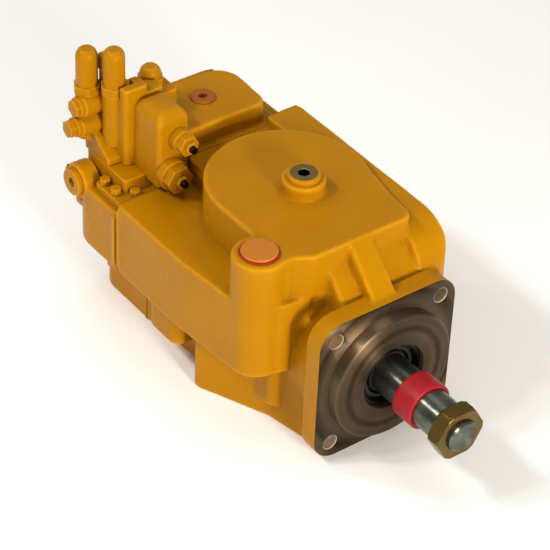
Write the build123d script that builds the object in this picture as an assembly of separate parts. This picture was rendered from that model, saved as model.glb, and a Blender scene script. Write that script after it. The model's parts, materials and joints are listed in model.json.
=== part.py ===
"""Axial piston pump with a tilting swash yoke and a two-spool compensator.

Frame: millimetres, origin at the centre of the mounting flange's front face, on the shaft axis.
The drive shaft points along -Y, the port block is at +Y, and +Z is up.
"""

import os
from math import cos, pi, radians, sin

from build123d import *

# Mounting flange, four-bolt square pattern for a 127 mm spigot
FLANGE_WIDTH = 149.0
FLANGE_THICK = 20.0
FLANGE_CORNER_R = 24.0
BOLT_SPACING = 114.5
BOLT_HOLE_R = 7.15
PILOT_R = 63.5
PILOT_HEIGHT = 12.7
SEAL_RECESS_R = 33.0
NECK_R = 67.0

# Drive shaft
SHAFT_R = 19.05
SHAFT_FRONT_Y = -89.0
STUB_END_Y = -108.0
STUB_R = 15.0
BEARING_SEAT_R = 22.5
FRONT_BEARING_Y = (22.0, 48.0)
SPLINE_R = 18.0
SPLINE_TEETH = 14
SPLINE_DEPTH = 2.0
GUIDE_R = 24.0
REAR_JOURNAL_R = 12.0
NUT_AF = 46.0
NUT_THICK = 15.0
RING_R = 22.8
RING_Y = (-62.0, -38.0)
KEY_WIDTH = 9.5
KEY_DEPTH = 5.0
KEY_PROUD = 3.4

# Housing
JOINT_Y = 250.0
GASKET_THICK = 0.8
CASE_TOP_Z = 116.0
CASE_HALF = 75.0
CASE_FRONT_Y = 45.0
BASE_Z = -76.0
SHOULDER_Z = 72.0
SHOULDER_X = -116.0
RIGHT_X = 87.0
RIGHT_TOP_Z = 105.0
WALL_FOOT_Z = -4.0
CROWN_Y = 150.0
VALLEY_Z = 95.0
BELLY_X = -82.0
PLUG_Y = 128.0
PLUG_BOSS_R = 20.0
PLUG_BOSS_Z = 130.0
PLUG_BORE_R = 12.0
DRAIN_X = -85.0
DRAIN_Y = 76.5
DRAIN_BOSS_R = 24.5
DRAIN_BORE_R = 14.0

# Port block: each port is (x, bore radius, bolt spacing in x, bolt spacing in z, tapped hole radius)
BLOCK_END_Y = 330.0
PORT_FLOOR_Y = 276.0
SUCTION_PORT = (50.0, 25.4, 42.9, 77.8, 5.0)
PRESSURE_PORT = (-52.0, 15.9, 31.8, 66.7, 6.0)
REAR_BORE_R = 20.0
REAR_BORE_END_Y = 294.0
GAUGE_XY = (9.0, 294.0)
GAUGE_R = 7.0
CROSS_PORT = (314.0, 60.0)
CROSS_BOSS_R = 17.0
CROSS_R = 9.0
KIDNEY_R = 5.0
PIN_R = 3.0
BOLT_R = 6.0
BOLT_CLEAR_R = 6.5
BOLT_HEAD_R = 9.0
BOLT_TIP_Y = 214.0

# Cavity and rotating group
BORE_R = 66.0
CHAMBER_HALF_X = 49.0
CHAMBER_HALF_Z = 53.0
BEARING_BORE_R = 42.5
BARREL_R = 54.0
BARREL_Y = (164.0, 243.95)
PISTON_COUNT = 9
PISTON_PITCH_R = 36.0
PISTON_R = 10.47
PISTON_BORE_R = 10.5
BALL_Y = 146.0
BALL_R = 6.5
SLIPPER_R = 11.0
SLIPPER_FACE_Y = 136.0
VALVE_PLATE_THICK = 6.0

# Swash yoke: tilts about X through (y = YOKE_Y, z = 0)
YOKE_Y = 120.0
YOKE_R = 50.0
YOKE_HALF_X = 47.0
YOKE_PLATE_THICK = 20.0
ROCKER_INNER_X = 25.0
SADDLE_THICK = 2.5
SADDLE_GAP = 0.05
SHAFT_PASSAGE_R = 29.0
BIAS_SEAT_Y = 58.0
SADDLE_HALF_ANGLE = 52.0
ARM_Y = 111.0
ARM_Z = 80.0
ARM_TIP_R = 9.0
ARM_ROD_R = 5.0
SERVO_R = 11.0
SERVO_GAP = 0.3
RUN_GAP = 0.03

# Compensator valve stack
VALVE_X = (-76.0, -43.0)
VALVE_REAR_Y = 328.0
VALVE_STEP_Y = 281.0
VALVE_FRONT_Y = 241.0
VALVE_TOP_Z = 155.0
VALVE_REAR_Z = 140.0
STEP_X = (-85.0, -60.0)
STEP_END_Y = 300.0
STEP_TOP_Z = 163.0
VALVE_SEAT_Z = 82.0
VALVE_UNDERSIDE_Z = 78.0
PAD_Z = 60.0
LEDGE_Z = 68.0
BASE_LEFT_X = -98.0
SCREW_R = 3.4
SCREW_TIP_Z = 54.0
COLUMN_R = 10.5
COLUMN_FOOT_Z = 96.0
CAP_POCKET = 13.0
COLUMN_RIGHT = (-82.0, 304.0, 150.0)
COLUMN_LEFT = (-96.0, 327.0, 143.5)
COLUMNS = (COLUMN_RIGHT, COLUMN_LEFT)
TOWER_Z = 143.0
DOME_R = 10.2
DOME_HEIGHT = 46.0
DOME_DROP = DOME_R * 0.8
SHORT_DOME = (-40.0, 308.0)
SHORT_DOME_HEIGHT = 18.0
STEM_BORE_R = 5.0
STEM_R = 4.95
PLUG_PAD_R = 10.8
SPOOL_R = 8.0
PRESSURE_SPOOL = (-64.0, 93.0)
FLOW_SPOOL = (-55.0, 127.0)
CAP_LENGTH = 18.0
ADJUSTER_R = 3.5


def block(x, y, z, radius=0.0, axis=Axis.Z):
    """A box between two x, two y and two z values, its edges along one axis rounded."""
    size = (x[1] - x[0], y[1] - y[0], z[1] - z[0])
    middle = ((x[0] + x[1]) / 2, (y[0] + y[1]) / 2, (z[0] + z[1]) / 2)
    solid = Pos(*middle) * Box(*size)
    if radius:
        solid = fillet(solid.edges().filter_by(axis), radius)
    return solid


def rod_y(x, z, radius, y):
    """A round bar along Y between two y values."""
    return Pos(x, (y[0] + y[1]) / 2, z) * Rot(90, 0, 0) * Cylinder(radius, y[1] - y[0])


def rod_z(x, y, radius, z):
    """A round bar along Z between two z values."""
    return Pos(x, y, (z[0] + z[1]) / 2) * Cylinder(radius, z[1] - z[0])


def rod_x(y, z, radius, x):
    """A round bar along X between two x values."""
    return Pos((x[0] + x[1]) / 2, y, z) * Rot(0, 90, 0) * Cylinder(radius, x[1] - x[0])


def ring_y(x, z, outer, inner, y):
    """A tube along Y."""
    return rod_y(x, z, outer, y) - rod_y(x, z, inner, (y[0] - 1, y[1] + 1))


def hex_y(x, z, across_flats, y):
    """A hexagonal bar along Y."""
    profile = RegularPolygon(across_flats / 2, 6, major_radius=False)
    return Pos(x, y[1], z) * Rot(90, 0, 0) * extrude(profile, y[1] - y[0])


def hex_z(x, y, across_flats, z):
    """A hexagonal bar along Z."""
    profile = RegularPolygon(across_flats / 2, 6, major_radius=False)
    return Pos(x, y, z[0]) * extrude(profile, z[1] - z[0])


def hex_x(y, z, across_flats, x):
    """A hexagonal bar along X."""
    profile = RegularPolygon(across_flats / 2, 6, major_radius=False)
    return Pos(x[0], y, z) * Rot(0, 90, 0) * extrude(profile, x[1] - x[0])


def plan(points, radii, z):
    """A prism with the given plan outline, each corner rounded by its own radius."""
    outline = FilletPolyline(*points, radius=radii, close=True)
    return Pos(0, 0, z[0]) * extrude(make_face(outline), z[1] - z[0])


def side_profile(points, x):
    """A prism along X whose outline is given as (y, z) points."""
    face = Plane.YZ * make_face(Polyline(*points, close=True))
    return Pos(x[0], 0, 0) * extrude(face, x[1] - x[0])


def flange_corners():
    """The four bolt positions (x, z) of the mounting flange."""
    half = BOLT_SPACING / 2
    return [(x, z) for x in (-half, half) for z in (-half, half)]


def joint_bolts():
    """The (x, z) positions of the bolts that hold the port block to the housing."""
    return [(-100, 28), (-84, 44), (-28, 78), (46, 84), (75, 62), (64, -62), (-66, -62)]


def mounting_flange():
    """The square flange with its round spigot."""
    half = FLANGE_WIDTH / 2
    plate = block((-half, half), (0, FLANGE_THICK), (-half, half), FLANGE_CORNER_R, Axis.Y)
    pilot = rod_y(0, 0, PILOT_R, (-PILOT_HEIGHT, 1))
    pilot = chamfer(pilot.edges().group_by(Axis.Y)[0], 1.5)
    return plate + pilot


def neck():
    """The round throat behind the flange, with the sloping web and the gusset above it."""
    throat = rod_y(0, 0, NECK_R, (FLANGE_THICK - 1, 62))
    start = FLANGE_THICK - 1
    slope = [(start, 40), (start, 66), (CASE_FRONT_Y + 3, 98), (75, 98), (75, 40)]
    web = side_profile(slope, (-34, 62))
    rib = [(6, 60), (6, 74), (CASE_FRONT_Y - 2, 112), (75, 112), (75, 60)]
    gusset = side_profile(rib, (-13, 13))
    return throat + web + gusset


def casing():
    """The tall centre casing with its level platform, round at the rear, and the valley behind it."""
    front_right = [(58, CASE_FRONT_Y), (62, 82), (CASE_HALF, CROWN_Y)]
    outline = [(-40, CASE_FRONT_Y)] + front_right
    outline += [(CASE_HALF, JOINT_Y), (-CASE_HALF, JOINT_Y), (-CASE_HALF, 66)]
    body = plan(outline, [12, 10, 20, 20, 1, 1, 12], (BASE_Z + 20, SHOULDER_Z))
    deck = [(-50, CASE_FRONT_Y)] + front_right + [(-CASE_HALF, CROWN_Y), (-CASE_HALF, 60)]
    deck_front = plan(deck, [10, 10, 20, 1, 1, 12], (SHOULDER_Z - 1, CASE_TOP_Z))
    deck_rear = rod_z(0, CROWN_Y, CASE_HALF, (SHOULDER_Z - 1, CASE_TOP_Z))
    valley = block((-40, 66), (180, JOINT_Y), (SHOULDER_Z - 1, VALLEY_Z), 8)
    boss = rod_z(0, PLUG_Y, PLUG_BOSS_R, (CASE_TOP_Z - 1, PLUG_BOSS_Z))
    return body + deck_front + deck_rear + valley + boss


def left_shoulder():
    """The lower, wider casing on the left, with a big round front corner."""
    points = [(SHOULDER_X, JOINT_Y), (SHOULDER_X, 150), (-109, 74), (-80, 50), (-50, 46), (-50, JOINT_Y)]
    return plan(points, [6, 60, 24, 14, 1, 1], (WALL_FOOT_Z, SHOULDER_Z))


def drain_boss():
    """The upright round boss at the front left, as tall as the platform."""
    column = rod_z(DRAIN_X, DRAIN_Y, DRAIN_BOSS_R, (WALL_FOOT_Z, CASE_TOP_Z))
    bridge = block((DRAIN_X - 1, -40), (54, DRAIN_Y + DRAIN_BOSS_R - 1), (60, CASE_TOP_Z), 6)
    return column + bridge


def right_shoulder():
    """The casing on the right, just below the platform, falling away towards the flange."""
    points = [(21, -40), (21, RIGHT_TOP_Z), (JOINT_Y, RIGHT_TOP_Z), (JOINT_Y, -40)]
    face = Plane.YZ * make_face(FilletPolyline(*points, radius=[1, 44, 1, 1], close=True))
    solid = Pos(50, 0, 0) * extrude(face, RIGHT_X - 50)
    corners = [(50, 21), (RIGHT_X, 21), (RIGHT_X, JOINT_Y), (50, JOINT_Y)]
    return solid & plan(corners, [6, 16, 6, 1], (-40, RIGHT_TOP_Z))


def belly():
    """The narrower underside that the pump rests on, with the foot boss at its front left."""
    points = [(-70, 78), (-58, 21), (66, 21), (78, 60), (78, JOINT_Y), (BELLY_X, JOINT_Y)]
    keel = plan(points, [14, 8, 8, 20, 1, 1], (BASE_Z, 10))
    foot_points = [(-104, 152), (-88, 118), (-70, 76), (-50, 76), (-50, 152)]
    foot = plan(foot_points, [8, 20, 8, 1, 1], (BASE_Z, 10))
    ledge = block((-106, -60), (168, 214), (-44, 10), 10)
    return keel + foot + ledge


def arm_chamber():
    """The slot that the yoke arm swings in, and the bores of the two pistons that push it."""
    slot = block((-13, 13), (98, 150), (40, 94), 6)
    access = rod_z(0, PLUG_Y, PLUG_BORE_R, (90, PLUG_BOSS_Z + 1))
    control_bore = rod_y(0, ARM_Z, SERVO_R + RUN_GAP, (145, JOINT_Y + 1))
    bias_bore = rod_y(0, ARM_Z, SERVO_R + RUN_GAP, (BIAS_SEAT_Y, 100))
    return slot + access + control_bore + bias_bore


def case_cavity():
    """The barrel bore, the yoke chamber, the saddle seats, the bearing bore and the drain."""
    bore = rod_y(0, 0, BORE_R, (YOKE_Y, JOINT_Y + 1))
    half_x = (-CHAMBER_HALF_X, CHAMBER_HALF_X)
    half_z = (-CHAMBER_HALF_Z, CHAMBER_HALF_Z)
    chamber = block(half_x, (YOKE_Y, JOINT_Y + 1), half_z, 6, Axis.Y)
    cradle = rod_x(YOKE_Y, 0, YOKE_R + SADDLE_GAP + SADDLE_THICK, half_x)
    bearing_bore = rod_y(0, 0, BEARING_BORE_R, (FLANGE_THICK, 100))
    seal_bore = rod_y(0, 0, SEAL_RECESS_R, (-PILOT_HEIGHT - 1, FLANGE_THICK + 1))
    drain = rod_z(DRAIN_X, DRAIN_Y, DRAIN_BORE_R, (92, CASE_TOP_Z + 1))
    drain_way = rod_z(DRAIN_X, DRAIN_Y, 8, (20, 95))
    return bore + chamber + cradle + bearing_bore + seal_bore + drain + drain_way + arm_chamber()


def outer_casting():
    """Everything that the housing is made of before its bores are machined."""
    solid = mounting_flange() + neck() + casing() + left_shoulder()
    solid += drain_boss() + right_shoulder() + belly()
    return solid - block((-200, 200), (JOINT_Y, 400), (-200, 200))


def joint_holes(solid, radius, y):
    """Cut the bolt holes of the housing joint."""
    for x, z in joint_bolts():
        solid -= rod_y(x, z, radius, y)
    return solid


def housing(casting):
    """The main casting with every bore cut."""
    solid = casting - block((-200, 200), (JOINT_Y - GASKET_THICK, 400), (-200, 200))
    solid -= case_cavity()
    for x, z in flange_corners():
        solid -= rod_y(x, z, BOLT_HOLE_R, (-1, FLANGE_THICK + 16))
    return joint_holes(solid, BOLT_R, (BOLT_TIP_Y, JOINT_Y + 1))


def joint_gasket(casting):
    """The thin gasket between the housing and the port block."""
    sheet = casting & block((-200, 200), (JOINT_Y - GASKET_THICK, JOINT_Y), (-200, 200))
    sheet -= case_cavity()
    return joint_holes(sheet, BOLT_R, (200, JOINT_Y + 1))


def block_plan(left, right, radii, z):
    """A prism over the port block's whole depth, between two x values."""
    corners = [(left, JOINT_Y), (right, JOINT_Y), (right, BLOCK_END_Y), (left, BLOCK_END_Y)]
    return plan(corners, radii, z)


def port_block_body():
    """The outside of the rear block: a wide low part and a narrower tower."""
    low = block_plan(BELLY_X, 78, [1, 1, 14, 24], (BASE_Z, 4))
    wide = block_plan(SHOULDER_X, RIGHT_X, [6, 6, 20, 34], (WALL_FOOT_Z, PAD_Z))
    corners = [(-40, 256), (56, 256), (60, BLOCK_END_Y), (-40, BLOCK_END_Y)]
    tower = plan(corners, [6, 12, 26, 8], (PAD_Z - 1, CASE_TOP_Z))
    link = block((-40, 66), (JOINT_Y, 300), (PAD_Z - 1, VALLEY_Z))
    side = block((50, RIGHT_X), (JOINT_Y, 308), (PAD_Z - 1, 80), 6)
    boss = rod_x(CROSS_PORT[0], CROSS_PORT[1], CROSS_BOSS_R, (SHOULDER_X - 2, -100))
    return low + wide + tower + link + side + boss


def flange_pattern(port):
    """The four bolt positions (x, z) of a port's split-flange pattern."""
    x, _, across, up, _ = port
    return [(x + i * across / 2, j * up / 2) for i in (-1, 1) for j in (-1, 1)]


def kidney(angle, y):
    """A kidney-shaped slot on the piston circle, centred at the given angle from +X."""
    spots = range(-50, 51, 10)
    slot = Part()
    for offset in spots:
        turn = radians(angle + offset)
        slot += rod_y(PISTON_PITCH_R * cos(turn), PISTON_PITCH_R * sin(turn), KIDNEY_R, y)
    return slot


def port_block():
    """The rear block with its two ports, kidneys, rear bearing seat and bolt holes."""
    solid = port_block_body()
    for port, angle in ((SUCTION_PORT, 0), (PRESSURE_PORT, 180)):
        x, radius, _, _, tapped = port
        solid -= rod_y(x, 0, radius, (PORT_FLOOR_Y, BLOCK_END_Y + 1))
        solid -= kidney(angle, (JOINT_Y - 1, PORT_FLOOR_Y + 4))
        for hole_x, hole_z in flange_pattern(port):
            solid -= rod_y(hole_x, hole_z, tapped, (BLOCK_END_Y - 28, BLOCK_END_Y + 1))
    solid -= rod_y(0, 0, REAR_BORE_R, (JOINT_Y - 1, REAR_BORE_END_Y))
    solid -= rod_y(0, 50, PIN_R, (JOINT_Y - 1, JOINT_Y + 7))
    solid -= rod_z(GAUGE_XY[0], GAUGE_XY[1], GAUGE_R, (98, CASE_TOP_Z + 1))
    solid -= rod_x(CROSS_PORT[0], CROSS_PORT[1], CROSS_R, (SHOULDER_X - 3, -98))
    for x, y in base_screw_places():
        solid -= rod_z(x, y, SCREW_R, (SCREW_TIP_Z - 2, PAD_Z + 1))
    for x, z in joint_bolts():
        solid -= rod_y(x, z, BOLT_CLEAR_R, (JOINT_Y - 1, BLOCK_END_Y + 1))
        solid -= rod_y(x, z, BOLT_HEAD_R + 1, (BLOCK_END_Y - 14, BLOCK_END_Y + 1))
    return solid


def cap_screw_y(x, z, shank, head, y):
    """A socket-head screw along Y: y gives its tip, the underside of its head and its end."""
    solid = rod_y(x, z, shank, (y[0], y[1] + 1)) + rod_y(x, z, head, (y[1], y[2]))
    return solid - hex_y(x, z, shank * 1.6, (y[2] - shank, y[2] + 1))


def housing_bolts():
    """The screws that hold the port block on."""
    span = (BOLT_TIP_Y + 2, BLOCK_END_Y - 14, BLOCK_END_Y - 2)
    return Compound([cap_screw_y(x, z, BOLT_R - 0.05, BOLT_HEAD_R, span) for x, z in joint_bolts()])


def spline_teeth(radius, height, width, y):
    """The teeth of a straight spline as bars round the shaft."""
    teeth = Part()
    for index in range(SPLINE_TEETH):
        bar = block((-width / 2, width / 2), y, (radius - 2, radius + height))
        teeth += Rot(0, index * 360 / SPLINE_TEETH, 0) * bar
    return teeth


def drive_shaft():
    """The shaft: threaded stub, keyed drive end, bearing seat, spline and rear journal."""
    solid = rod_y(0, 0, STUB_R, (STUB_END_Y, SHAFT_FRONT_Y + 1))
    solid = chamfer(solid.edges().group_by(Axis.Y)[0], 1.5)
    solid += rod_y(0, 0, SHAFT_R, (SHAFT_FRONT_Y, 12))
    solid += rod_y(0, 0, BEARING_SEAT_R, (11, 52))
    solid += rod_y(0, 0, 20.0, (51, 100))
    solid += rod_y(0, 0, SPLINE_R - SPLINE_DEPTH, (99, 244))
    solid += spline_teeth(SPLINE_R - SPLINE_DEPTH, SPLINE_DEPTH, 3.6, (222, 242))
    solid += rod_y(0, 0, REAR_JOURNAL_R, (243, REAR_BORE_END_Y - 4))
    return solid - key_bar(1)


def key_bar(proud):
    """A round-ended bar in the keyway, standing out of the shaft by the given height."""
    half = KEY_WIDTH / 2
    return block((-half, half), RING_Y, (-SHAFT_R - proud, -SHAFT_R + KEY_DEPTH), half - 0.05)


def shaft_key():
    """The parallel key under the shaft, held by the shipping ring."""
    return key_bar(KEY_PROUD)


def shipping_ring():
    """The plastic ring that keeps the key in place, split over the key."""
    ring = ring_y(0, 0, RING_R, SHAFT_R, RING_Y)
    ring = chamfer(ring.edges().filter_by(GeomType.CIRCLE).sort_by(Edge.length.fget)[-2:], 1.0)
    half_gap = KEY_WIDTH / 2 + 0.5
    return ring - block((-half_gap, half_gap), (RING_Y[0] - 1, RING_Y[1] + 1), (-40, -10))


def shaft_nut():
    """The hexagon nut on the shaft's threaded stub, its corners turned down."""
    body = hex_y(0, 0, NUT_AF, (SHAFT_FRONT_Y - NUT_THICK, SHAFT_FRONT_Y))
    cone = rod_y(0, 0, NUT_AF / 2 / cos(pi / 6), (SHAFT_FRONT_Y - NUT_THICK, SHAFT_FRONT_Y))
    cone = chamfer(cone.edges().filter_by(GeomType.CIRCLE), 3.4, 2.0)
    return (body & cone) - rod_y(0, 0, STUB_R, (SHAFT_FRONT_Y - NUT_THICK - 1, SHAFT_FRONT_Y + 1))


def rollers(pitch_r, radius, count, y):
    """A full set of rollers round the shaft axis."""
    turns = [2 * pi * index / count for index in range(count)]
    return Compound([rod_y(pitch_r * cos(turn), pitch_r * sin(turn), radius, y) for turn in turns])


def seal_carrier():
    """The stepped ring in the spigot's recess that holds the shaft seal."""
    ring = ring_y(0, 0, SEAL_RECESS_R, 26.0, (-6, 8))
    return ring - rod_y(0, 0, 29.5, (-7, -2))


def shaft_seal():
    """The rubber lip seal on the shaft."""
    body = ring_y(0, 0, 26.0, SHAFT_R, (-4, 7))
    return body - ring_y(0, 0, 23.5, SHAFT_R + 1.4, (-5, 4))


def snap_ring():
    """The spring ring that keeps the seal carrier in."""
    ring = ring_y(0, 0, SEAL_RECESS_R, 30.0, (-8, -6))
    return ring - block((-4, 4), (-9, -5), (-40, -20))


def saddle_bearings():
    """Two part-round bearing shells that the yoke tilts in."""
    inner = YOKE_R + SADDLE_GAP
    outer = inner + SADDLE_THICK
    reach = outer + 10
    low = radians(SADDLE_HALF_ANGLE)
    back = -reach * cos(low)
    edge = [(0, 0), (back, reach * sin(low)), (-reach * 1.6, 0), (back, -reach * sin(low))]
    wedge = Pos(0, YOKE_Y, 0) * side_profile(edge, (-60, 60))
    shells = []
    for side in (-1, 1):
        span = sorted((side * ROCKER_INNER_X, side * YOKE_HALF_X))
        shell = rod_x(YOKE_Y, 0, outer, span) - rod_x(YOKE_Y, 0, inner, (span[0] - 1, span[1] + 1))
        shells.append(shell & wedge)
    return Compound(shells)


def swash_yoke():
    """The tilting yoke: a flat running face on two round rockers, open in the middle for the shaft."""
    solid = rod_x(YOKE_Y, 0, YOKE_R, (-YOKE_HALF_X, YOKE_HALF_X))
    solid &= block((-60, 60), (40, YOKE_Y), (-60, 60))
    gap = ROCKER_INNER_X - 1
    solid -= block((-gap, gap), (40, YOKE_Y - YOKE_PLATE_THICK), (-60, 60))
    solid -= rod_y(0, 0, SHAFT_PASSAGE_R, (60, YOKE_Y + 1))
    return solid - rod_z(0, ARM_Y, ARM_ROD_R, (34, 60))


def yoke_arm():
    """The upright arm with its round tip that the two pistons push."""
    tip = Pos(0, ARM_Y, ARM_Z) * Sphere(ARM_TIP_R)
    return rod_z(0, ARM_Y, ARM_ROD_R, (34, ARM_Z)) + tip


def control_piston():
    """The piston that pushes the arm forwards, towards no flow."""
    start = ARM_Y + ARM_TIP_R + SERVO_GAP
    solid = rod_y(0, ARM_Z, SERVO_R, (start, start + 62))
    return solid - rod_y(0, ARM_Z, 6, (start + 20, start + 63))


def bias_piston():
    """The spring-loaded cup that pushes the arm rearwards, towards full flow."""
    end = ARM_Y - ARM_TIP_R - SERVO_GAP
    solid = rod_y(0, ARM_Z, SERVO_R, (BIAS_SEAT_Y + 4, end))
    return solid - rod_y(0, ARM_Z, 8.6, (BIAS_SEAT_Y + 3, end - 6))


def coil_spring(x, z, mean_r, wire_r, y, turns):
    """A helical spring along Y between two y values."""
    length = y[1] - y[0] - 2 * wire_r
    path = Helix(length / turns, length, mean_r)
    section = Plane(path @ 0, z_dir=path % 0) * Circle(wire_r)
    wire = sweep(section, path)
    return Pos(x, y[0] + wire_r, z) * Rot(-90, 0, 0) * wire


def bias_spring():
    """The spring inside the bias piston."""
    end = ARM_Y - ARM_TIP_R - SERVO_GAP - 6
    return coil_spring(0, ARM_Z, 6.8, 1.5, (BIAS_SEAT_Y, end), 6)


def cylinder_barrel():
    """The rotating barrel with its piston bores, spring chamber and spline."""
    solid = rod_y(0, 0, BARREL_R, BARREL_Y)
    solid -= rod_y(0, 0, 24.0, (BARREL_Y[0] - 1, 222))
    solid -= rod_y(0, 0, SPLINE_R - SPLINE_DEPTH + 0.05, (221, 245))
    solid -= spline_teeth(SPLINE_R - SPLINE_DEPTH, SPLINE_DEPTH + 0.1, 3.8, (221, 245))
    for x, z in piston_places():
        solid -= rod_y(x, z, PISTON_BORE_R, (BARREL_Y[0] - 1, 234))
        solid -= rod_y(x, z, KIDNEY_R, (233, 245))
    return solid


def piston_places():
    """The (x, z) centres of the pistons round the shaft."""
    turns = [2 * pi * index / PISTON_COUNT for index in range(PISTON_COUNT)]
    return [(PISTON_PITCH_R * sin(turn), PISTON_PITCH_R * cos(turn)) for turn in turns]


def one_piston(x, z):
    """A hollow piston with its ball end."""
    solid = rod_y(x, z, PISTON_R, (158, 226)) + rod_y(x, z, 4.5, (BALL_Y, 159))
    solid += Pos(x, BALL_Y, z) * Sphere(BALL_R)
    return solid - rod_y(x, z, 6.5, (172, 227))


def one_slipper(x, z):
    """A slipper: a flat shoe with a round socket for the piston's ball."""
    solid = rod_y(x, z, SLIPPER_R, (SLIPPER_FACE_Y, SLIPPER_FACE_Y + 4))
    solid += rod_y(x, z, 8.0, (SLIPPER_FACE_Y + 3, BALL_Y + 3.5))
    solid -= Pos(x, BALL_Y, z) * Sphere(BALL_R + 0.05)
    return solid - rod_y(x, z, 1.2, (SLIPPER_FACE_Y - 1, BALL_Y))


def retainer_plate():
    """The plate that holds every slipper down, carried by the ball guide."""
    solid = rod_y(0, 0, 46.0, (SLIPPER_FACE_Y + 4.1, SLIPPER_FACE_Y + 8.1))
    solid -= Pos(0, BALL_Y, 0) * Sphere(GUIDE_R + 0.05)
    for x, z in piston_places():
        solid -= rod_y(x, z, 8.4, (SLIPPER_FACE_Y, SLIPPER_FACE_Y + 10))
    return solid


def ball_guide():
    """The round hub on the shaft that presses the retainer plate."""
    solid = Pos(0, BALL_Y, 0) * Sphere(GUIDE_R) & block((-40, 40), (139, 158), (-40, 40))
    solid += rod_y(0, 0, 21.0, (157, 168))
    return solid - rod_y(0, 0, SPLINE_R - SPLINE_DEPTH + 0.05, (130, 170))


def spring_washers():
    """The two washers that the barrel spring bears on."""
    bore = SPLINE_R - SPLINE_DEPTH + 0.1
    return Compound([ring_y(0, 0, 23.8, bore, y) for y in ((168.0, 171.0), (219.0, 222.0))])


def valve_plate():
    """The port plate that the barrel turns against."""
    solid = ring_y(0, 0, BARREL_R, REAR_BORE_R, (JOINT_Y - VALVE_PLATE_THICK, JOINT_Y))
    for angle in (0, 180):
        solid -= kidney(angle, (JOINT_Y - VALVE_PLATE_THICK - 1, JOINT_Y + 1))
    return solid - rod_y(0, 50, PIN_R, (JOINT_Y - VALVE_PLATE_THICK + 1.5, JOINT_Y + 1))


def case_plug():
    """The hexagon-socket plug in the boss on the platform."""
    solid = rod_z(0, PLUG_Y, PLUG_BORE_R, (100, PLUG_BOSS_Z + 1))
    solid += rod_z(0, PLUG_Y, PLUG_BORE_R + 3.5, (PLUG_BOSS_Z, PLUG_BOSS_Z + 5))
    solid = chamfer(solid.edges().group_by(Axis.Z)[-1], 1.5)
    return solid - hex_z(0, PLUG_Y, 10, (PLUG_BOSS_Z - 5, PLUG_BOSS_Z + 6))


def drain_cap():
    """The tan plastic cap in the drain port, with its raised grip."""
    solid = rod_z(DRAIN_X, DRAIN_Y, DRAIN_BORE_R, (100, CASE_TOP_Z + 2))
    solid += rod_z(DRAIN_X, DRAIN_Y, 16.5, (CASE_TOP_Z + 1.5, CASE_TOP_Z + 3.5))
    return fillet(solid.edges().group_by(Axis.Z)[-1], 1.2)


def drain_seal():
    """The red sealing ring under the drain cap."""
    ring = rod_z(DRAIN_X, DRAIN_Y, 18.2, (CASE_TOP_Z, CASE_TOP_Z + 1.5))
    return ring - rod_z(DRAIN_X, DRAIN_Y, DRAIN_BORE_R, (CASE_TOP_Z - 1, CASE_TOP_Z + 2))


def gauge_plug():
    """The plug in the small port on top of the port block."""
    x, y = GAUGE_XY
    solid = rod_z(x, y, GAUGE_R, (100, CASE_TOP_Z + 1)) + rod_z(x, y, 12, (CASE_TOP_Z, CASE_TOP_Z + 2.5))
    solid = chamfer(solid.edges().group_by(Axis.Z)[-1], 0.8)
    return solid - hex_z(x, y, 8, (CASE_TOP_Z - 4, CASE_TOP_Z + 3))


def base_plate():
    """The compensator's mounting plate, with low ledges for its screws."""
    middle = block((BASE_LEFT_X, VALVE_X[1]), (262, 326), (PAD_Z, VALVE_SEAT_Z), 4)
    ledge = block((BASE_LEFT_X - 12, VALVE_X[1]), (251, 294), (PAD_Z, LEDGE_Z), 4)
    solid = middle + ledge
    for x, y in base_screw_places():
        solid -= rod_z(x, y, SCREW_R + 0.3, (PAD_Z - 1, LEDGE_Z + 1))
    return solid


def base_screw_places():
    """The (x, y) positions of the mounting plate's screws."""
    return [(-91, 256.5), (-66, 256.5), (-104, 268), (-104, 286)]


def base_screws():
    """The hexagon-head screws that hold the mounting plate down."""
    screws = []
    for x, y in base_screw_places():
        shank = rod_z(x, y, SCREW_R - 0.05, (SCREW_TIP_Z, LEDGE_Z + 1))
        screws.append(shank + hex_z(x, y, 9, (LEDGE_Z, LEDGE_Z + 6.5)))
    return Compound(screws)


def spool_block():
    """The compensator's front part, which holds both spools, with one large round edge along its top."""
    solid = block(VALVE_X, (VALVE_FRONT_Y, VALVE_STEP_Y + 1), (VALVE_UNDERSIDE_Z, VALVE_TOP_Z), 4)
    solid = fillet(solid.edges().filter_by(Axis.Y).group_by(Axis.Z)[-1].sort_by(Axis.X)[-1], 12)
    return solid - block((-200, 0), (261.5, 300), (0, VALVE_SEAT_Z))


def valve_web():
    """The sloping web on the compensator's left side."""
    slope = [(VALVE_REAR_Y, 118), (290, 88), (290, VALVE_SEAT_Z), (VALVE_REAR_Y, VALVE_SEAT_Z)]
    return side_profile(slope, (BASE_LEFT_X, STEP_X[0] + 1))


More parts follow.
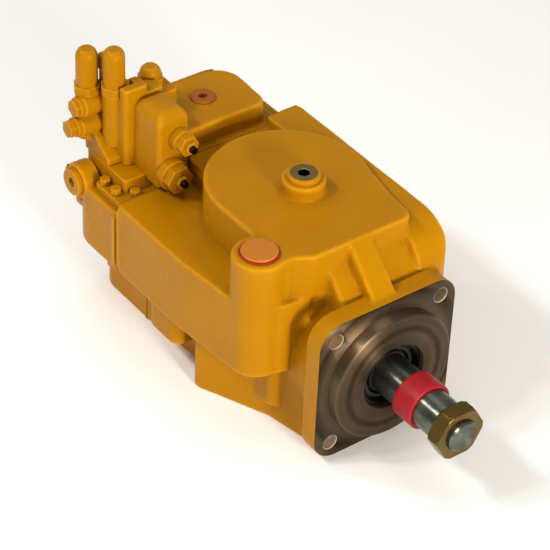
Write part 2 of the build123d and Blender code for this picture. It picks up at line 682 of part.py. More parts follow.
def valve_body():
    """The compensator's casting: the spool block, a high step, a low rear part and two round columns."""
    rear_y = (VALVE_STEP_Y, VALVE_REAR_Y)
    step_y = (VALVE_STEP_Y, STEP_END_Y)
    solid = spool_block() + valve_web()
    solid += block((STEP_X[0], VALVE_X[1]), rear_y, (VALVE_SEAT_Z, VALVE_REAR_Z), 4)
    solid += block(STEP_X, step_y, (VALVE_SEAT_Z, STEP_TOP_Z), 4)
    solid += block((STEP_X[1] - 5, VALVE_X[1]), step_y, (VALVE_SEAT_Z, VALVE_TOP_Z), 4)
    solid += block((STEP_X[0], -75), (319, VALVE_REAR_Y), (VALVE_REAR_Z - 2, 180), 3)
    solid += block((VALVE_X[1] - 6, -24), (286, 323), (CASE_TOP_Z + 0.6, TOWER_Z), 4)
    for x, y, top in COLUMNS:
        solid += rod_z(x, y, COLUMN_R, (COLUMN_FOOT_Z, top))
    for y, z, face, _ in side_plug_places():
        solid += rod_x(y, z, PLUG_PAD_R, (face, STEP_X[0] + 2))
        solid -= rod_x(y, z, STEM_BORE_R, (face - 1, face + 11))
    for x, z in (PRESSURE_SPOOL, FLOW_SPOOL):
        solid -= rod_y(x, z, SPOOL_R, (VALVE_FRONT_Y - 1, VALVE_REAR_Y + 1))
    return cap_seats(solid)


def cap_seats(solid):
    """Cut the flat seats and stem bores of the domed caps."""
    for x, y, top in COLUMNS:
        solid -= block((x - CAP_POCKET, x + CAP_POCKET), (y - CAP_POCKET, y + 9), (top, STEP_TOP_Z + 1))
        solid -= rod_z(x, y, CAP_POCKET, (top, STEP_TOP_Z + 1))
        solid -= rod_z(x, y, STEM_BORE_R, (top - 4.8, top + 1))
    x, y = SHORT_DOME
    solid -= rod_z(x, y, CAP_POCKET, (TOWER_Z, VALVE_TOP_Z + 1))
    return solid - rod_z(x, y, STEM_BORE_R, (TOWER_Z - 4.8, TOWER_Z + 1))


def side_plug_places():
    """The (y, z, x of the face, reach) of the plugs on the compensator's left side."""
    return [(322, 133.5, -107, 8), (322, 113, -110, 11)]


def domed_cap(x, y, z):
    """A round-topped cap with a hexagon foot and a screwed stem; z gives its seat and its top."""
    seat, top = z
    stem = rod_z(x, y, STEM_R, (seat - 4.5, seat + 1))
    foot_height = min(9.0, (top - seat) * 0.4)
    foot = hex_z(x, y, DOME_R * 2 + 2.4, (seat, seat + foot_height))
    foot &= rod_z(x, y, DOME_R + 2.2, (seat, seat + foot_height))
    wall = rod_z(x, y, DOME_R, (seat, top - DOME_DROP))
    crown = Pos(x, y, top - DOME_DROP) * Sphere(DOME_R)
    crown &= block((x - 20, x + 20), (y - 20, y + 20), (top - DOME_DROP - 0.1, top))
    return stem + foot + wall + crown


def side_plug(y, z, face, reach):
    """A hexagon plug on the compensator's left side."""
    solid = rod_x(y, z, STEM_R, (face, face + 9)) + rod_x(y, z, 9.5, (face - 4, face))
    return solid + hex_x(y, z, 15, (face - reach, face - 3))


def cross_plug():
    """The large hexagon-socket plug in the port block's cross drilling."""
    y, z = CROSS_PORT
    face = SHOULDER_X - 2
    solid = rod_x(y, z, CROSS_R, (face, -102)) + rod_x(y, z, 13, (face - 5, face))
    return solid - hex_x(y, z, 9, (face - 6, face + 4))


def end_plug(x, z):
    """A hexagon plug that closes a spool bore at the rear."""
    stem = rod_y(x, z, SPOOL_R, (VALVE_REAR_Y - 12, VALVE_REAR_Y))
    return stem + hex_y(x, z, 19, (VALVE_REAR_Y, VALVE_REAR_Y + 7))


def spool(x, z):
    """A spool with two grooves between its lands."""
    start = VALVE_FRONT_Y + 8
    solid = rod_y(x, z, SPOOL_R - RUN_GAP, (start, start + 52))
    for y in (start + 12, start + 30):
        solid -= ring_y(x, z, SPOOL_R + 1, 4.5, (y, y + 10))
    return solid


def spring_seat(x, z):
    """The cup between a spool and its spring."""
    back = VALVE_FRONT_Y + 8
    return rod_y(x, z, SPOOL_R - 0.3, (back - 3, back)) + rod_y(x, z, 2.6, (back - 7, back - 2.5))


def spring_cap(x, z, radius, flats):
    """A hollow cap on the compensator's front that holds a spool's spring."""
    rear = VALVE_FRONT_Y
    solid = rod_y(x, z, radius, (rear - 9, rear)) + hex_y(x, z, flats, (rear - CAP_LENGTH, rear - 8))
    solid += ring_y(x, z, SPOOL_R - 0.05, 6.9, (rear - 1, rear + 2))
    solid -= rod_y(x, z, 6.9, (rear - CAP_LENGTH + 5, rear + 1))
    return solid - rod_y(x, z, ADJUSTER_R + 0.05, (rear - CAP_LENGTH - 1, rear))


def adjuster(x, z):
    """The screw that sets a spool's spring, slotted at its outer end, with its spring button."""
    outer = VALVE_FRONT_Y - CAP_LENGTH
    solid = rod_y(x, z, ADJUSTER_R, (outer - 8, outer + 6)) + rod_y(x, z, 6.5, (outer + 5.5, outer + 8))
    return solid - block((x - 4, x + 4), (outer - 9, outer - 6.5), (z - 0.6, z + 0.6))


def lock_nut(x, z):
    """The nut that locks an adjuster."""
    outer = VALVE_FRONT_Y - CAP_LENGTH
    return hex_y(x, z, 11, (outer - 4.2, outer)) - rod_y(x, z, ADJUSTER_R + 0.05, (outer - 5, outer + 1))


def spool_spring(x, z):
    """A spool's spring, between its adjuster and its seat."""
    return coil_spring(x, z, 5.2, 1.0, (VALVE_FRONT_Y - CAP_LENGTH + 8, VALVE_FRONT_Y + 5), 5)


def main():
    """Build every piece and write one STEP file for each."""
    os.makedirs("parts", exist_ok=True)
    casting = outer_casting()
    pieces = {
        "housing": housing(casting),
        "joint_gasket": joint_gasket(casting),
        "port_block": port_block(),
        "housing_bolts": housing_bolts(),
        "drive_shaft": drive_shaft(),
        "shaft_key": shaft_key(),
        "shipping_ring": shipping_ring(),
        "shaft_nut": shaft_nut(),
        "seal_carrier": seal_carrier(),
        "shaft_seal": shaft_seal(),
        "snap_ring": snap_ring(),
        "front_bearing_inner": ring_y(0, 0, 28.0, BEARING_SEAT_R, FRONT_BEARING_Y),
        "front_bearing_rollers": rollers(32.6, 4.5, 20, (24, 46)),
        "front_bearing_outer": ring_y(0, 0, BEARING_BORE_R, 37.2, FRONT_BEARING_Y),
        "rear_bearing_outer": ring_y(0, 0, REAR_BORE_R, 17.1, (262, 286)),
        "rear_bearing_rollers": rollers(14.55, 2.5, 16, (264, 284)),
        "saddle_bearings": saddle_bearings(),
        "swash_yoke": swash_yoke(),
        "yoke_arm": yoke_arm(),
        "control_piston": control_piston(),
        "bias_piston": bias_piston(),
        "bias_spring": bias_spring(),
        "cylinder_barrel": cylinder_barrel(),
        "pistons": Compound([one_piston(x, z) for x, z in piston_places()]),
        "slippers": Compound([one_slipper(x, z) for x, z in piston_places()]),
        "retainer_plate": retainer_plate(),
        "ball_guide": ball_guide(),
        "barrel_spring": coil_spring(0, 0, 20.4, 2.0, (171, 219), 5),
        "spring_washers": spring_washers(),
        "valve_plate": valve_plate(),
        "valve_plate_pin": rod_y(0, 50, PIN_R, (JOINT_Y - 4, JOINT_Y + 6)),
        "case_plug": case_plug(),
        "drain_cap": drain_cap(),
        "drain_seal": drain_seal(),
        "gauge_plug": gauge_plug(),
        "compensator_base": base_plate(),
        "base_screws": base_screws(),
        "compensator_body": valve_body(),
        "tall_domed_caps": Compound([domed_cap(x, y, (top, top + DOME_HEIGHT)) for x, y, top in COLUMNS]),
        "short_domed_cap": domed_cap(*SHORT_DOME, (TOWER_Z, TOWER_Z + SHORT_DOME_HEIGHT)),
        "side_plugs": Compound([side_plug(*place) for place in side_plug_places()]),
        "cross_plug": cross_plug(),
        "spool_end_plugs": Compound([end_plug(x, z) for x, z in (PRESSURE_SPOOL, FLOW_SPOOL)]),
        "pressure_spool": spool(*PRESSURE_SPOOL),
        "pressure_spring_seat": spring_seat(*PRESSURE_SPOOL),
        "pressure_spring": spool_spring(*PRESSURE_SPOOL),
        "pressure_cap": spring_cap(*PRESSURE_SPOOL, 15, 24),
        "pressure_adjuster": adjuster(*PRESSURE_SPOOL),
        "flow_spool": spool(*FLOW_SPOOL),
        "flow_spring_seat": spring_seat(*FLOW_SPOOL),
        "flow_spring": spool_spring(*FLOW_SPOOL),
        "flow_cap": spring_cap(*FLOW_SPOOL, 11, 18),
        "flow_adjuster": adjuster(*FLOW_SPOOL),
        "lock_nuts": Compound([lock_nut(x, z) for x, z in (PRESSURE_SPOOL, FLOW_SPOOL)]),
    }
    for name, piece in pieces.items():
        export_step(piece, f"parts/{name}.step")


if __name__ == "__main__":
    main()
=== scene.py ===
"""Axial piston pump: cast skins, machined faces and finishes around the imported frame.

Every length in the code is in millimetres, and MM turns it into the metres of the scene.
The drive shaft points along -Y, the port block is at +Y, and +Z is up.
"""

import json
import logging
import math
from dataclasses import dataclass
from enum import Enum
from typing import Any, Callable, Dict, List, Optional, Sequence, Tuple

import bmesh
import bpy
import numpy as np
from mathutils import Matrix, Vector
from mathutils.bvhtree import BVHTree


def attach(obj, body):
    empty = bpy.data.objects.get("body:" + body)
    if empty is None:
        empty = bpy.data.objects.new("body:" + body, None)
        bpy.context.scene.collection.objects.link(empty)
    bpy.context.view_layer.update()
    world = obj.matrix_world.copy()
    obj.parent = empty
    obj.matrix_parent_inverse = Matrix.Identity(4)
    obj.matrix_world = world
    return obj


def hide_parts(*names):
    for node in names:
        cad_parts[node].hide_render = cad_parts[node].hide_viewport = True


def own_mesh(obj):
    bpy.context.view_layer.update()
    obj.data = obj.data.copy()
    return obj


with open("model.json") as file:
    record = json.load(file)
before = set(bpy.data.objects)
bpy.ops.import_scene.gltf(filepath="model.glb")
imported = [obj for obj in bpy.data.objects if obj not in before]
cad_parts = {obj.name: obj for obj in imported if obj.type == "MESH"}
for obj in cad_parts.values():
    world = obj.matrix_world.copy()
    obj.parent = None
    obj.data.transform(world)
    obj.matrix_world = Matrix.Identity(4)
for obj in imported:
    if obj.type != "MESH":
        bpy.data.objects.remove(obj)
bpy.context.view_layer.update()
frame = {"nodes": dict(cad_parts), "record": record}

logging.basicConfig(level=logging.INFO, format="%(message)s")
LOG = logging.getLogger("pump")

MM = 0.001
CASE = "pump_case"
ROTOR = "rotating_group"
QUARTER_TURN = 0.25
WHOLE = (-1000.0, 1000.0)
SIGNS = (-1.0, 1.0)
SWELLS = (70.0, 46.0, 31.0, 19.0)

Colour = Tuple[float, float, float, float]


def linear(hex_colour: str) -> Colour:
    """Turn an sRGB hex colour into linear RGBA.

    Args:
        hex_colour: six hex digits, with or without a leading hash.

    Returns:
        The linear red, green and blue, and an alpha of 1.
    """
    digits = hex_colour.lstrip("#")
    channels = [int(digits[i:i + 2], 16) / 255 for i in (0, 2, 4)]
    rgb = [c / 12.92 if c <= 0.04045 else ((c + 0.055) / 1.055) ** 2.4 for c in channels]
    return (rgb[0], rgb[1], rgb[2], 1.0)


def per_mm(size_mm: float) -> float:
    """Work out a texture's scale in a scene measured in metres.

    Args:
        size_mm: how far apart the pattern's features are.

    Returns:
        The value for the texture's Scale.
    """
    return 1000.0 / size_mm


def add_node(tree: bpy.types.NodeTree, kind: str, settings: Optional[Dict[Any, Any]] = None,
             links: Optional[Dict[Any, bpy.types.NodeSocket]] = None) -> bpy.types.Node:
    """Add one shader node, set it up and link its inputs.

    Args:
        tree: the material's node tree.
        kind: the node's type name.
        settings: node properties and input values by name or index; "stops" fills a colour ramp.
        links: output sockets to connect, by the input's name or index.

    Returns:
        The new node.
    """
    node = tree.nodes.new(kind)
    for key, value in (settings or {}).items():
        if key == "stops":
            ramp = node.color_ramp
            while len(ramp.elements) < len(value):
                ramp.elements.new(0.5)
            for element, (position, colour) in zip(ramp.elements, value):
                element.position = position
                element.color = colour
        elif isinstance(key, str) and hasattr(node, key):
            setattr(node, key, value)
        else:
            node.inputs[key].default_value = value
    for key, socket in (links or {}).items():
        tree.links.new(socket, node.inputs[key])
    return node


class Face(Enum):
    """What a machined end's face is left as; each value is its place in the end's list of finishes."""

    PAINT = 0
    BARE = 1
    BORE = 2


@dataclass(frozen=True)
class Finish:
    """A finish: the base of every material here."""

    name: str
    colour: str
    roughness: float = 0.5
    metallic: float = 0.0

    def build(self) -> bpy.types.Material:
        """Make the material.

        Returns:
            A new material with its whole node tree.
        """
        material = bpy.data.materials.new(self.name)
        material.use_nodes = True
        tree = material.node_tree
        tree.nodes.clear()
        base = {"Base Color": linear(self.colour), "Roughness": self.roughness, "Metallic": self.metallic}
        shader = add_node(tree, "ShaderNodeBsdfPrincipled", base)
        output = add_node(tree, "ShaderNodeOutputMaterial", links={"Surface": shader.outputs[0]})
        output.location = (400, 0)
        place = add_node(tree, "ShaderNodeTexCoord")
        self.weave(tree, shader, place.outputs["Object"])
        return material

    def weave(self, tree: bpy.types.NodeTree, shader: bpy.types.Node, place: bpy.types.NodeSocket) -> None:
        """Add the finish's own pattern nodes to its shader.

        Args:
            tree: the material's node tree.
            shader: its principled shader.
            place: object coordinates, in metres.
        """


def mottle(tree: bpy.types.NodeTree, place: bpy.types.NodeSocket, size_mm: float,
           detail: float = 3.0) -> bpy.types.NodeSocket:
    """Add a cloudy pattern.

    Args:
        tree: the material's node tree.
        place: object coordinates.
        size_mm: how far across its patches are.
        detail: how many finer patterns are laid over it.

    Returns:
        The pattern's value, mostly 0.3 to 0.7.
    """
    values = {"Scale": per_mm(size_mm), "Detail": detail, "Roughness": 0.55}
    noise = add_node(tree, "ShaderNodeTexNoise", values, {"Vector": place})
    return noise.outputs["Fac"]


def spread(tree: bpy.types.NodeTree, value: bpy.types.NodeSocket, low: float, high: float,
           reach: Tuple[float, float] = (0.3, 0.7)) -> bpy.types.NodeSocket:
    """Stretch a pattern's values to a new range.

    Args:
        tree: the material's node tree.
        value: the pattern.
        low: the new value at the start of reach.
        high: the new value at the end of reach.
        reach: the pattern's own range.

    Returns:
        The stretched value.
    """
    limits = {"From Min": reach[0], "From Max": reach[1], "To Min": low, "To Max": high}
    mapped = add_node(tree, "ShaderNodeMapRange", limits, {"Value": value})
    return mapped.outputs["Result"]


def press(tree: bpy.types.NodeTree, shader: bpy.types.Node, height: bpy.types.NodeSocket, depth_mm: float,
          strength: float = 1.0) -> None:
    """Give the shader a fine relief.

    Args:
        tree: the material's node tree.
        shader: its principled shader.
        height: the pattern of the relief.
        depth_mm: how deep the relief is.
        strength: the share of that depth that shows.
    """
    values = {"Strength": strength, "Distance": depth_mm * MM}
    bump = add_node(tree, "ShaderNodeBump", values, {"Height": height})
    tree.links.new(bump.outputs["Normal"], shader.inputs["Normal"])


def mixed(tree: bpy.types.NodeTree, first: str, second: str,
          share: bpy.types.NodeSocket) -> bpy.types.NodeSocket:
    """Mix two colours by a pattern.

    Args:
        tree: the material's node tree.
        first: the sRGB colour where share is 0.
        second: the sRGB colour where share is 1.
        share: the pattern.

    Returns:
        The mixed colour.
    """
    values = {"data_type": "RGBA", 6: linear(first), 7: linear(second)}
    return add_node(tree, "ShaderNodeMix", values, {0: share}).outputs[2]


def roughen(tree: bpy.types.NodeTree, shader: bpy.types.Node, value: bpy.types.NodeSocket, low: float,
            high: float) -> None:
    """Vary a shader's roughness by a pattern.

    Args:
        tree: the material's node tree.
        shader: its principled shader.
        value: the pattern.
        low: the roughness at the pattern's lower end.
        high: the roughness at its upper end.
    """
    tree.links.new(spread(tree, value, low, high), shader.inputs["Roughness"])


def streak(tree: bpy.types.NodeTree, shader: bpy.types.Node) -> None:
    """Draw the highlight out across tool marks that run round the shaft.

    Args:
        tree: the material's node tree.
        shader: its principled shader.
    """
    shader.inputs["Anisotropic"].default_value = 0.85
    shader.inputs["Anisotropic Rotation"].default_value = QUARTER_TURN
    tangent = add_node(tree, "ShaderNodeTangent", {"direction_type": "RADIAL", "axis": "Y"})
    tree.links.new(tangent.outputs[0], shader.inputs["Tangent"])


@dataclass(frozen=True)
class SandCastEnamel(Finish):
    """Alkyd enamel sprayed over a sand casting: satin, with painted shade in its corners and a painted
    highlight on its edges.
    """

    shade: str = "#8A5004"
    # The next two colours are painted light: a painted shade for concave corners, then a painted highlight
    # for convex edges.
    crease_shade: str = "#7A4202"
    edge: str = "#D08E16"
    gloss_tint: str = "#FFD27A"
    patch_mm: float = 60.0
    grit_mm: float = 1.5
    peel_mm: float = 6.0
    relief_mm: float = 0.16
    gloss: float = 0.16

    def weave(self, tree: bpy.types.NodeTree, shader: bpy.types.Node, place: bpy.types.NodeSocket) -> None:
        """Cloudy colour, painted shade in the corners, a painted highlight on the edges and the grit of the
        mould.
        """
        patches = mottle(tree, place, self.patch_mm)
        tone = mixed(tree, self.colour, self.shade, spread(tree, patches, 0.0, 0.22))
        relief = add_node(tree, "ShaderNodeAttribute", {"attribute_name": "relief"})
        # Painted shade goes into concave corners and a painted highlight onto convex edges, both read from
        # the relief.
        crease_shade_mask = spread(tree, relief.outputs["Fac"], 0.5, 0.0, (-1.0, -0.12))
        edge_highlight_mask = spread(tree, relief.outputs["Fac"], 0.0, 0.5, (0.15, 1.1))
        crease_shaded = add_node(tree, "ShaderNodeMix", {"data_type": "RGBA", 7: linear(self.crease_shade)},
                          {0: crease_shade_mask, 6: tone})
        edge_highlighted = add_node(tree, "ShaderNodeMix", {"data_type": "RGBA", 7: linear(self.edge)},
                          {0: edge_highlight_mask, 6: crease_shaded.outputs[2]})
        tree.links.new(edge_highlighted.outputs[2], shader.inputs["Base Color"])
        peel = mottle(tree, place, self.peel_mm, 1.0)
        roughen(tree, shader, peel, self.roughness - 0.05, self.roughness + 0.07)
        grit = mottle(tree, place, self.grit_mm, 2.0)
        swell = spread(tree, peel, 0.0, 1.5)
        both = add_node(tree, "ShaderNodeMath", {"operation": "ADD"}, {0: grit, 1: swell})
        press(tree, shader, both.outputs[0], self.relief_mm, 0.55)
        shader.inputs["Specular IOR Level"].default_value = self.gloss
        shader.inputs["Specular Tint"].default_value = linear(self.gloss_tint)


@dataclass(frozen=True)
class TurnedFace(Finish):
    """Oiled steel turned on a lathe: fine rings about the shaft, and a highlight that runs across them."""

    film: str = "#3A2A1C"
    ring_mm: float = 2.4
    patch_mm: float = 35.0

    def weave(self, tree: bpy.types.NodeTree, shader: bpy.types.Node, place: bpy.types.NodeSocket) -> None:
        """Turning rings in tone, gloss and relief."""
        across = {"operation": "MULTIPLY", 1: (1.0, 0.0, 1.0)}
        flat = add_node(tree, "ShaderNodeVectorMath", across, {0: place})
        radius = add_node(tree, "ShaderNodeVectorMath", {"operation": "LENGTH"}, {0: flat.outputs[0]})
        fine = {"noise_dimensions": "1D", "Scale": per_mm(self.ring_mm), "Detail": 4.0, "Roughness": 0.7}
        coarse = {"noise_dimensions": "1D", "Scale": per_mm(self.ring_mm * 6), "Detail": 1.0}
        rings = add_node(tree, "ShaderNodeTexNoise", fine)
        wide = add_node(tree, "ShaderNodeTexNoise", coarse)
        for texture in (rings, wide):
            tree.links.new(radius.outputs["Value"], texture.inputs["W"])
        patches = mottle(tree, place, self.patch_mm)
        wear = add_node(tree, "ShaderNodeMath", {"operation": "MULTIPLY"},
                        {0: spread(tree, wide.outputs["Fac"], 0.0, 1.0), 1: spread(tree, patches, 0.5, 1.0)})
        tree.links.new(mixed(tree, self.film, self.colour, wear.outputs[0]), shader.inputs["Base Color"])
        roughen(tree, shader, rings.outputs["Fac"], self.roughness - 0.08, self.roughness + 0.1)
        press(tree, shader, rings.outputs["Fac"], 0.05, 0.6)
        streak(tree, shader)


@dataclass(frozen=True)
class GroundSteel(Finish):
    """Hardened steel ground to size: a dark mirror with faint grinding lines and a little smear of oil."""

    tint: str = "#363B34"
    line_mm: float = 0.8
    patch_mm: float = 14.0

    def weave(self, tree: bpy.types.NodeTree, shader: bpy.types.Node, place: bpy.types.NodeSocket) -> None:
        """Grinding lines around the part and an uneven oil film."""
        stretch = add_node(tree, "ShaderNodeMapping", {"Scale": (0.15, 1.0, 0.15)}, {"Vector": place})
        lines = add_node(tree, "ShaderNodeTexNoise", {"Scale": per_mm(self.line_mm), "Detail": 3.0},
                         {"Vector": stretch.outputs[0]})
        film = mottle(tree, place, self.patch_mm)
        tone = mixed(tree, self.colour, self.tint, spread(tree, film, 0.0, 0.8))
        tree.links.new(tone, shader.inputs["Base Color"])
        marks = spread(tree, lines.outputs["Fac"], self.roughness - 0.03, self.roughness + 0.05)
        smear = spread(tree, film, 0.0, 0.06)
        rough = add_node(tree, "ShaderNodeMath", {"operation": "ADD"}, {0: marks, 1: smear})
        tree.links.new(rough.outputs[0], shader.inputs["Roughness"])
        press(tree, shader, lines.outputs["Fac"], 0.01, 0.2)
        streak(tree, shader)


@dataclass(frozen=True)
class ZincDichromate(Finish):
    """Zinc plate with a yellow dichromate dip: olive gold, with pink and green clouds in it."""

    green: str = "#56602E"
    rose: str = "#7C5634"
    cloud_mm: float = 9.0

    def weave(self, tree: bpy.types.NodeTree, shader: bpy.types.Node, place: bpy.types.NodeSocket) -> None:
        """Drifting colour of the film and faint scratches."""
        clouds = mottle(tree, place, self.cloud_mm, 2.0)
        stops = [(0.34, linear(self.green)), (0.5, linear(self.colour)), (0.66, linear(self.rose))]
        tone = add_node(tree, "ShaderNodeValToRGB", {"stops": stops}, {"Fac": clouds})
        tree.links.new(tone.outputs["Color"], shader.inputs["Base Color"])
        scratches = mottle(tree, place, 0.9, 4.0)
        roughen(tree, shader, scratches, self.roughness - 0.06, self.roughness + 0.08)
        press(tree, shader, scratches, 0.03, 0.4)


@dataclass(frozen=True)
class MouldedPart(Finish):
    """Injection moulded plastic or moulded rubber: even colour, a fine mould texture and slight scuffs."""

    scuff: str = "#FFFFFF"
    scuff_share: float = 0.1
    texture_mm: float = 0.7
    gloss: float = 0.3

    def weave(self, tree: bpy.types.NodeTree, shader: bpy.types.Node, place: bpy.types.NodeSocket) -> None:
        """Mould texture and pale scuffs."""
        scuffs = mottle(tree, place, 5.0, 5.0)
        share = spread(tree, scuffs, 0.0, self.scuff_share, (0.5, 0.75))
        tree.links.new(mixed(tree, self.colour, self.scuff, share), shader.inputs["Base Color"])
        texture = mottle(tree, place, self.texture_mm, 1.0)
        roughen(tree, shader, scuffs, self.roughness - 0.05, self.roughness + 0.1)
        press(tree, shader, texture, 0.05, 0.4)
        shader.inputs["Specular IOR Level"].default_value = self.gloss


@dataclass(frozen=True)
class MachinedMetal(Finish):
    """Milled, drawn or sintered metal of the inner parts: fine tool marks and a cloudy film of oil."""

    stain: str = "#000000"
    mark_mm: float = 1.0
    patch_mm: float = 12.0

    def weave(self, tree: bpy.types.NodeTree, shader: bpy.types.Node, place: bpy.types.NodeSocket) -> None:
        """Tool marks and stains."""
        patches = mottle(tree, place, self.patch_mm)
        tone = mixed(tree, self.colour, self.stain, spread(tree, patches, 0.0, 0.35))
        tree.links.new(tone, shader.inputs["Base Color"])
        marks = mottle(tree, place, self.mark_mm, 3.0)
        roughen(tree, shader, marks, self.roughness - 0.07, self.roughness + 0.07)
        press(tree, shader, marks, 0.04, 0.4)


@dataclass(frozen=True)
class StudioFloor(Finish):
    """Matt studio paper."""

    fibre: str = "#F4F3F0"

    def weave(self, tree: bpy.types.NodeTree, shader: bpy.types.Node, place: bpy.types.NodeSocket) -> None:
        """Barely visible paper tone."""
        tone = mottle(tree, place, 400.0, 2.0)
        tree.links.new(mixed(tree, self.colour, self.fibre, tone), shader.inputs["Base Color"])


class Palette:
    """Every finish of the pump, each built once."""

    FINISHES: Dict[str, Finish] = {
        "painted_casting": SandCastEnamel("satin_enamel_on_sand_cast_iron", "#A97203", 0.4),
        "painted_fitting": SandCastEnamel("satin_enamel_on_turned_steel", "#A97103", 0.36, grit_mm=2.5),
        "turned_face": TurnedFace("oiled_steel_turned_face", "#7C6850", 0.46, 1.0),
        # The bright drilled steel is paler than steel's own tone; in the flange's bolt holes it is partly a
        # painted highlight of the light they catch.
        "bright_bore": MachinedMetal("bright_drilled_steel", "#E0D6C0", 0.5, 1.0, "#B8AC94"),
        "shaft_steel": GroundSteel("hardened_steel_ground", "#74776E", 0.27, 1.0),
        "zinc_nut": ZincDichromate("zinc_plate_yellow_dichromate", "#6E5828", 0.3, 1.0),
        "red_plastic": MouldedPart("red_polyethylene_moulded", "#960812", 0.42, scuff="#C23A38"),
        "tan_plastic": MouldedPart("orange_polyethylene_moulded", "#B06A12", 0.42, scuff="#D89A48"),
        "rust_plastic": MouldedPart("rust_polyethylene_moulded", "#8E4A08", 0.5, scuff="#A8681C"),
        "plug_grey": MachinedMetal("steel_rubbed_bare", "#8E7A4C", 0.38, 1.0, "#6A4E1C"),
        "red_rubber": MouldedPart("red_silicone_moulded", "#9A0D06", 0.45, scuff="#C43A28"),
        "seal_rubber": MouldedPart("nitrile_rubber_moulded", "#16140F", 0.55, scuff="#4A463E"),
        "gasket_sheet": MouldedPart("aramid_fibre_gasket_oversprayed", "#9A6408", 0.6, scuff="#B87A14",
                                    texture_mm=1.2),
        "bright_steel": MachinedMetal("bearing_steel_ground", "#9C9C9E", 0.24, 1.0, "#5E5A54"),
        "dark_steel": MachinedMetal("alloy_steel_black_oxide", "#2B2723", 0.36, 1.0, "#14110E"),
        "spring_steel": MachinedMetal("spring_wire_drawn", "#6A6660", 0.32, 1.0, "#3A3530", 0.6),
        "bronze": MachinedMetal("bronze_sintered", "#A9783A", 0.34, 1.0, "#6E4A20"),
        "cast_iron": MachinedMetal("grey_iron_milled", "#5C5854", 0.42, 1.0, "#35322E", 1.4),
        "floor": StudioFloor("matt_studio_paper", "#FBFBFA", 0.9),
    }

    def __init__(self) -> None:
        """Start with no material built."""
        self.built: Dict[str, bpy.types.Material] = {}

    def get(self, key: str) -> bpy.types.Material:
        """Look up a finish's material, building it on first use.

        Args:
            key: the finish's name in the palette.

        Returns:
            The material.
        """
        if key not in self.built:
            self.built[key] = self.FINISHES[key].build()
        return self.built[key]

    def dress(self, piece: bpy.types.Object, *keys: str) -> None:
        """Give a piece its materials.

        Args:
            piece: the piece.
            keys: the finishes, in the order of its material slots.
        """
        piece.data.materials.clear()
        for key in keys:
            piece.data.materials.append(self.get(key))


# --------------------------------------------------------------------------- mesh work


def corners_of(mesh: bpy.types.Mesh) -> np.ndarray:
    """Read a mesh's vertices.

    Args:
        mesh: the mesh.

    Returns:
        One row of x, y and z in millimetres for each vertex.
    """
    flat = np.zeros(len(mesh.vertices) * 3, np.float64)
    mesh.vertices.foreach_get("co", flat)
    return flat.reshape(-1, 3) / MM


def move_corners(mesh: bpy.types.Mesh, points: np.ndarray) -> None:
    """Write a mesh's vertices.

    Args:
        mesh: the mesh.
        points: one row of x, y and z in millimetres for each vertex.
    """
    mesh.vertices.foreach_set("co", (points * MM).astype(np.float32).ravel())
    mesh.update()


def closed_copy(nodes: Sequence[str], name: str) -> bpy.types.Mesh:
    """Copy CAD nodes into one mesh with their split corners welded.

    Args:
        nodes: names of the CAD nodes.
        name: the new mesh's name.

    Returns:
        The welded mesh.
    """
    work = bmesh.new()
    for node in nodes:
        work.from_mesh(frame["nodes"][node].data)
    bmesh.ops.remove_doubles(work, verts=work.verts, dist=0.002 * MM)
    mesh = bpy.data.meshes.new(name)
    work.to_mesh(mesh)
    work.free()
    return mesh


def show(name: str, mesh: bpy.types.Mesh) -> bpy.types.Object:
    """Put a mesh in the scene.

    Args:
        name: the new object's name.
        mesh: its mesh.

    Returns:
        The object.
    """
    piece = bpy.data.objects.new(name, mesh)
    bpy.context.scene.collection.objects.link(piece)
    return piece


def applied(piece: bpy.types.Object) -> bpy.types.Object:
    """Apply every modifier of a piece to its mesh.

    Args:
        piece: the piece.

    Returns:
        The same piece.
    """
    graph = bpy.context.evaluated_depsgraph_get()
    mesh = bpy.data.meshes.new_from_object(piece.evaluated_get(graph))
    piece.modifiers.clear()
    old = piece.data
    piece.data = mesh
    mesh.name = piece.name
    bpy.data.meshes.remove(old)
    return piece


def relax(points: np.ndarray, pairs: np.ndarray, weight: np.ndarray, rounds: int,
          pull: float = 0.5) -> np.ndarray:
    """Smooth vertices towards the mean of their neighbours.

    Args:
        points: vertices.
        pairs: the two vertex numbers of each edge.
        weight: how freely each vertex moves, 0 to 1.
        rounds: number of passes.
        pull: share of the way to the mean in one pass.

    Returns:
        The smoothed vertices.
    """
    points = points.copy()
    count = len(points)
    ends = np.concatenate([pairs[:, 0], pairs[:, 1]])
    others = np.concatenate([pairs[:, 1], pairs[:, 0]])
    degree = np.maximum(np.bincount(ends, minlength=count), 1)[:, None]
    for _ in range(rounds):
        neighbours = points[others]
        total = np.stack([np.bincount(ends, neighbours[:, k], count) for k in range(3)], axis=1)
        points += pull * weight[:, None] * (total / degree - points)
    return points


@dataclass(frozen=True)
class Zone:
    """A round space along one axis where a surface keeps its machined shape."""

    axis: int
    centre: Tuple[float, float]
    radius: float
    span: Tuple[float, float]

    def holds(self, points: np.ndarray) -> np.ndarray:
        """Find the points inside.

        Args:
            points: one row of x, y and z in millimetres for each point.

        Returns:
            True for each point that lies in the zone.
        """
        across = [k for k in range(3) if k != self.axis]
        apart = points[:, across] - np.array(self.centre)
        near = (apart ** 2).sum(1) < self.radius ** 2
        along = points[:, self.axis]
        return near & (along > self.span[0]) & (along < self.span[1])


